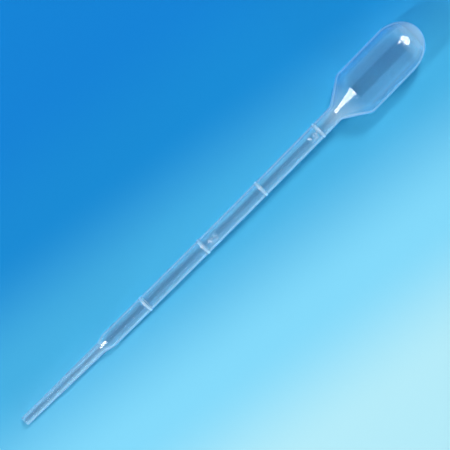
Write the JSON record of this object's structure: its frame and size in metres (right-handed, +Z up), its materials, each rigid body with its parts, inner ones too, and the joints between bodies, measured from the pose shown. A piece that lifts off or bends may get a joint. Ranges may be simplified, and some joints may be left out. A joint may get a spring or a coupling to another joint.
{
  "type": "dropper pipette",
  "caption": "Plastic dropper pipette moulded in one piece: narrow tip, ringed stem and squeeze bulb, lying on its side.",
  "frame": {"origin": "on the surface that the pipette lies on, at the middle of its footprint", "axes": "+X from the tip towards the bulb along the surface, +Z up"},
  "size_m": [0.1502, 0.0142, 0.0149],
  "materials": {
    "translucent_polyethylene": "translucent, satin gloss, as moulded"
  },
  "bodies": {
    "root": {"pipette": "translucent_polyethylene"}
  },
  "joints": []
}
